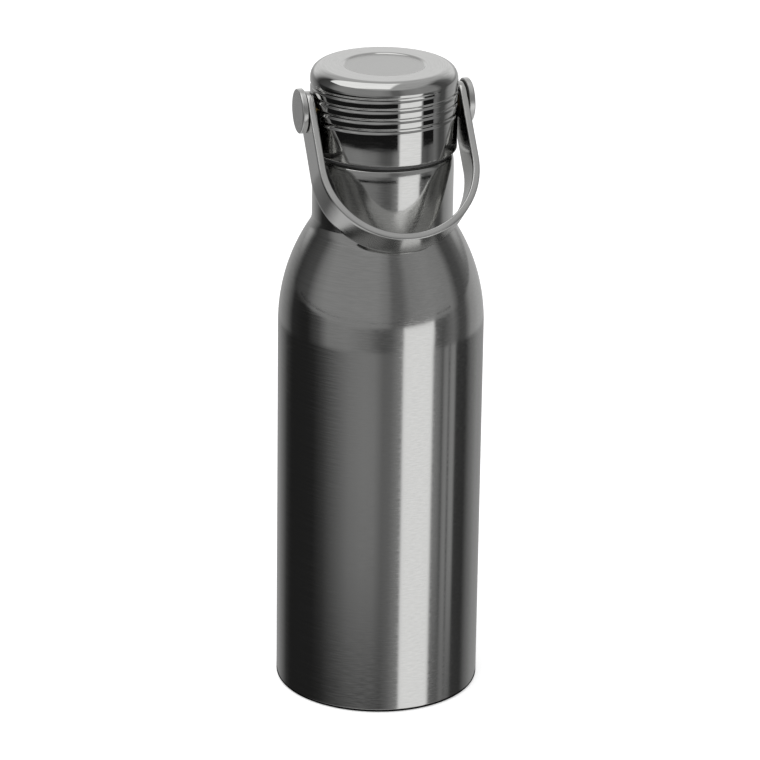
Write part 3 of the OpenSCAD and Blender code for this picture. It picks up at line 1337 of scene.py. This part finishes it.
class Surround(Graph):
    """The world's node tree, which gives the surround's tone by direction."""

    def __init__(self, tree: bpy.types.NodeTree, azimuth: float, tone: float) -> None:
        """Work out the direction as seen from the camera's side.

        Args:
            tree: The world's node tree.
            azimuth: Where the camera stands round the bottle, in degrees.
            tone: The surround's tone below the first band.
        """
        super().__init__(tree)
        self.tone = tone
        across, ahead = math.sin(math.radians(azimuth)), math.cos(math.radians(azimuth))
        x, y, self.up = self.split(self.add("ShaderNodeTexCoord").outputs["Generated"])
        self.towards = self.math("SUBTRACT", self.times(x, across), self.times(y, ahead))
        self.rightwards = self.plus(self.times(x, ahead), self.times(y, across))
        turned = self.math("ARCTAN2", self.rightwards, self.towards)
        self.around = self.spread(turned, -math.pi, math.pi)
        self.rise = self.math("ARCSINE", self.up)

    def above(self, degrees: float, softness: float) -> bpy.types.NodeSocket:
        """Give 0 below an elevation and 1 above it, softened over some degrees."""
        half = softness / 2
        return self.spread(self.rise, math.radians(degrees - half), math.radians(degrees + half))

    def add_band(self, band: Band) -> None:
        """Add a band, which covers all that is above its start.

        Args:
            band: The band.
        """
        ramp = self.add("ShaderNodeValToRGB")
        self.join(self.around, ramp.inputs["Fac"])
        marks = ramp.color_ramp.elements
        marks.remove(marks[-1])
        for i, stop in enumerate(band.stops):
            mark = marks.new((stop.angle + 180) / 360) if i else marks[0]
            mark.color = (stop.tone, stop.tone, stop.tone, 1)
        ring = self.times(ramp.outputs["Color"], 1.0)
        self.tone = self.blend(self.tone, ring, self.above(band.start, band.softness))

    def add_overhead(self, ceiling: Ceiling) -> None:
        """Add the ceiling and the bright backdrop behind the bottle, which fades upwards.

        Args:
            ceiling: What hangs above.
        """
        turned = self.math("ABSOLUTE", self.math("SUBTRACT", self.around, 0.5))
        behind = self.times(self.spread(turned, *ceiling.behind), self.above(*ceiling.behind_start))
        faded = self.blend(*ceiling.behind_tones, self.above(*ceiling.behind_fade))
        self.tone = self.blend(self.tone, ceiling.tone, self.above(ceiling.start, ceiling.softness))
        self.tone = self.blend(self.tone, faded, behind)

    def add_box(self, ceiling: Ceiling) -> None:
        """Add the soft box that hangs level above the bottle, with one corner shaded.

        Args:
            ceiling: What hangs above.
        """
        height = self.math("MAXIMUM", self.up, 0.01)
        places = [self.math("DIVIDE", part, height) for part in (self.rightwards, self.towards)]
        slope, lit, dark = ceiling.shaded
        corner = self.math("SUBTRACT", places[0], self.times(places[1], slope))
        inside = self.spread(corner, dark, lit)
        sides = zip(places, ceiling.box_middle, ceiling.box_half, ceiling.box_edge)
        for place, middle, half, edge in sides:
            off = self.math("ABSOLUTE", self.math("SUBTRACT", place, middle))
            inside = self.times(inside, self.spread(off, half, half + edge, 1.0, 0.0))
        self.tone = self.blend(self.tone, ceiling.box_tone, inside)

    def finish(self, backdrop: float) -> None:
        """Show the camera a plain background, and everything else the surround.

        Args:
            backdrop: Tone of the background.
        """
        seen = self.add("ShaderNodeLightPath").outputs["Is Camera Ray"]
        light = self.add("ShaderNodeBackground")
        self.join(self.blend(self.tone, backdrop, seen), light.inputs["Strength"])
        light.inputs["Color"].default_value = (1, 1, 1, 1)
        output = self.add("ShaderNodeOutputWorld")
        self.join(light.outputs[0], output.inputs["Surface"])


LEFT_BEHIND = (Stop(-180, 0.36), Stop(-156, 0.30), Stop(-140, 0.17), Stop(-128, 0.045), Stop(-118, 0.018))
RIGHT_BEHIND = (Stop(95, 0.05), Stop(112, 0.04), Stop(122, 0.15), Stop(140, 0.30), Stop(180, 0.36))
WINDOW = (Stop(27, 1.02), Stop(60, 1.02))


@dataclass
class Studio:
    """Pale floor, soft light, and the dark and bright panels that the steel mirrors.

    Attributes:
        azimuth: Where the camera stands round the bottle, in degrees.
        distance: How far it stands from the bottle's axis, level with the floor.
        height: How high it stands.
        pitch: How far it looks down, in degrees.
        roll: How far it leans, in degrees.
        lens: Its focal length, in millimetres.
        sensor: The width of its sensor, in millimetres.
        backdrop: Tone of the plain background.
        floor_half: Half the floor's width.
        floor_tone: The floor's own reflection.
        floor_glow: The light that it adds, which keeps it as pale as the background.
        dark_ring: Inner and outer radius and height of the dark ring that the cap mirrors.
        dark_arcs: First and last angle of each part of that ring, in degrees.
        foot_shade: Radius of the shade under the foot.
        shade_lift: Height of that shade over the floor.
        shade_tone: Tone of the ring and the shade.
        light_size: Width and depth of the soft light.
        light_power: Its power, in watts.
        light_place: Where it hangs.
        light_aim: The height on the bottle's axis that it points at.
        under_tone: Tone of the table right beside the bottle, below the first band.
        bands: The table close by, its middle, its far part, and the room above it.
        ceiling: What hangs above.
    """

    azimuth: float = -16.0
    distance: float = 1.2438
    height: float = 0.5799
    pitch: float = 20.73
    roll: float = 0.81
    lens: float = 184.2
    sensor: float = 36.0
    backdrop: float = 0.93
    floor_half: float = 6.0
    floor_tone: float = 0.9
    floor_glow: float = 0.55
    dark_ring: tuple[float, float, float] = (0.2117, 0.31, 0.14)
    dark_arcs: tuple[tuple[float, float], ...] = ((-100.0, 21.0), (61.5, 80.0))
    foot_shade: float = 0.0363
    shade_lift: float = 0.00005
    shade_tone: float = 0.012
    light_size: tuple[float, float] = (2.4, 1.6)
    light_power: float = 26.0
    light_place: tuple[float, float, float] = (-0.5, -1.2, 2.6)
    light_aim: float = 0.1
    under_tone: float = 0.55
    bands: tuple[Band, ...] = (
        Band(-38.0, 10.0, (
            *LEFT_BEHIND, Stop(-69, 0.018), Stop(-48, 0.048), Stop(-29, 0.083), Stop(4, 0.08),
            Stop(12, 0.14), Stop(24, 0.28), *WINDOW, Stop(63, 0.12), Stop(73, 0.12), Stop(79, 0.20),
            Stop(88, 0.14), *RIGHT_BEHIND,
        )),
        Band(-24.5, 2.2, (
            *LEFT_BEHIND, Stop(-80, 0.02), Stop(-66, 0.055), Stop(-50, 0.14), Stop(-34, 0.23),
            Stop(-18, 0.265), Stop(-6, 0.26), Stop(4, 0.165), Stop(12, 0.17), Stop(24, 0.30), *WINDOW,
            Stop(63, 0.29), Stop(70, 0.22), Stop(74.5, 0.10), Stop(77, 0.26), Stop(82, 0.30),
            Stop(84, 0.05), Stop(86, 0.30), Stop(92, 0.32), *RIGHT_BEHIND,
        )),
        Band(-19.0, 1.2, (
            Stop(-180, 0.42), Stop(-152, 0.36), Stop(-133, 0.22), Stop(-116, 0.03), Stop(-98, 0.02),
            Stop(-88, 0.02), Stop(-73, 0.085), Stop(-60, 0.25), Stop(-38, 0.27), Stop(-13, 0.21),
            Stop(-2, 0.13), Stop(4, 0.11), Stop(12, 0.12), Stop(24, 0.30), *WINDOW, Stop(63, 0.15),
            Stop(73, 0.10), Stop(88, 0.20), Stop(98, 0.08), Stop(108, 0.09), Stop(120, 0.32),
            Stop(140, 0.45), Stop(180, 0.50),
        )),
        Band(-3.5, 1.0, (
            Stop(-180, 0.60), Stop(-140, 0.28), Stop(-120, 0.05), Stop(-95, 0.09), Stop(-82, 0.24),
            Stop(-70, 0.30), Stop(-5, 0.30), Stop(8, 0.24), Stop(14, 0.15), Stop(24, 0.15),
            Stop(34, 0.26), Stop(58, 0.30), Stop(88, 0.26), Stop(100, 0.08), Stop(112, 0.09),
            Stop(140, 0.26), Stop(180, 0.60),
        )),
    )
    ceiling: Ceiling = Ceiling()

    def build(self) -> None:
        """Set up the floor, the light, the surround and the camera."""
        self.lay_floor()
        self.lay_shades()
        self.hang_light()
        self.paint_surround()
        self.place_camera()
        bpy.context.scene.view_settings.view_transform = "Standard"

    def place_camera(self) -> None:
        """Stand the camera at its place."""
        data = bpy.data.cameras.new("camera")
        data.lens = self.lens
        data.sensor_width = self.sensor
        camera = bpy.data.objects.new("camera", data)
        bpy.context.scene.collection.objects.link(camera)
        turn, down = math.radians(self.azimuth), math.radians(self.pitch)
        camera.location = (self.distance * math.sin(turn), -self.distance * math.cos(turn), self.height)
        ahead = Vector((-math.sin(turn) * math.cos(down), math.cos(turn) * math.cos(down), -math.sin(down)))
        camera.rotation_mode = "QUATERNION"
        lean = Quaternion((0, 0, 1), math.radians(self.roll))
        camera.rotation_quaternion = ahead.to_track_quat("-Z", "Y") @ lean
        bpy.context.scene.camera = camera

    def lay_floor(self) -> None:
        """Lay a wide pale floor that the steel doesn't mirror."""
        shape = bmesh.new()
        bmesh.ops.create_grid(shape, x_segments=8, y_segments=8, size=self.floor_half)
        floor = made_object("floor", shape)
        floor.data.materials.append(self.matt("pale_floor", self.floor_tone, self.floor_glow))
        floor.visible_glossy = False
        floor.visible_diffuse = False

    def lay_shades(self) -> None:
        """Lay the dark ring and the shade under the foot, which only polished surfaces mirror."""
        shape = bmesh.new()
        bmesh.ops.create_circle(shape, cap_ends=True, segments=64, radius=self.foot_shade)
        bmesh.ops.translate(shape, vec=(0, 0, self.shade_lift), verts=shape.verts)
        inner, outer, height = self.dark_ring
        for start, end in self.dark_arcs:
            first, last = (math.radians(self.azimuth + side) for side in (start, end))
            ends = [shape.verts.new((reach * math.sin(first), -reach * math.cos(first), height))
                    for reach in (inner, outer)]
            spin(shape, [*ends, shape.edges.new(ends)], (0, 0, 0), last - first, 32, merge=False)
        shades = made_object("shades", shape)
        shades.data.materials.append(self.matt("dull_black", self.shade_tone))
        shades.visible_camera = False
        shades.visible_diffuse = False
        shades.visible_shadow = False

    @staticmethod
    def matt(name: str, tone: float, glow: float = 0.0) -> bpy.types.Material:
        """Make a matt grey material.

        Args:
            name: Its name.
            tone: Its reflection.
            glow: The strength of its own white light.

        Returns:
            The material.
        """
        made = bpy.data.materials.new(name)
        made.use_nodes = True
        surface = Surface(made.node_tree)
        surface.feed("Base Color", (tone, tone, tone, 1))
        surface.feed("Roughness", 0.9)
        surface.feed("Specular IOR Level", 0.0)
        surface.feed("Emission Color", (1, 1, 1, 1))
        surface.feed("Emission Strength", glow)
        return made

    def hang_light(self) -> None:
        """Hang one wide soft light high in front, for the floor and the plastics."""
        data = bpy.data.lights.new("soft_box", "AREA")
        data.shape = "RECTANGLE"
        data.size, data.size_y = self.light_size
        data.energy = self.light_power
        light = bpy.data.objects.new("soft_box", data)
        bpy.context.scene.collection.objects.link(light)
        light.location = self.light_place
        light.rotation_mode = "QUATERNION"
        aim = Vector((0, 0, self.light_aim)) - Vector(self.light_place)
        light.rotation_quaternion = aim.to_track_quat("-Z", "Y")
        light.visible_glossy = False

    def paint_surround(self) -> None:
        """Paint what the steel mirrors by direction, and a plain background behind the floor."""
        world = bpy.data.worlds.new("studio")
        bpy.context.scene.world = world
        world.use_nodes = True
        surround = Surround(world.node_tree, self.azimuth, self.under_tone)
        for band in self.bands:
            surround.add_band(band)
        surround.add_overhead(self.ceiling)
        surround.add_box(self.ceiling)
        surround.finish(self.backdrop)


def main() -> None:
    """Build the bottle, then the studio."""
    logging.basicConfig(level=logging.INFO, format="%(name)s: %(message)s")
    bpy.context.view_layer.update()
    finishes = Palette()
    parts: list[Assembly] = [BottleWalls(), MouthSeal(), ScrewCap(), PivotHardware(), StrapHandle()]
    for part in parts:
        part.build(finishes)
    Studio().build()


if __name__ == "__main__":
    main()
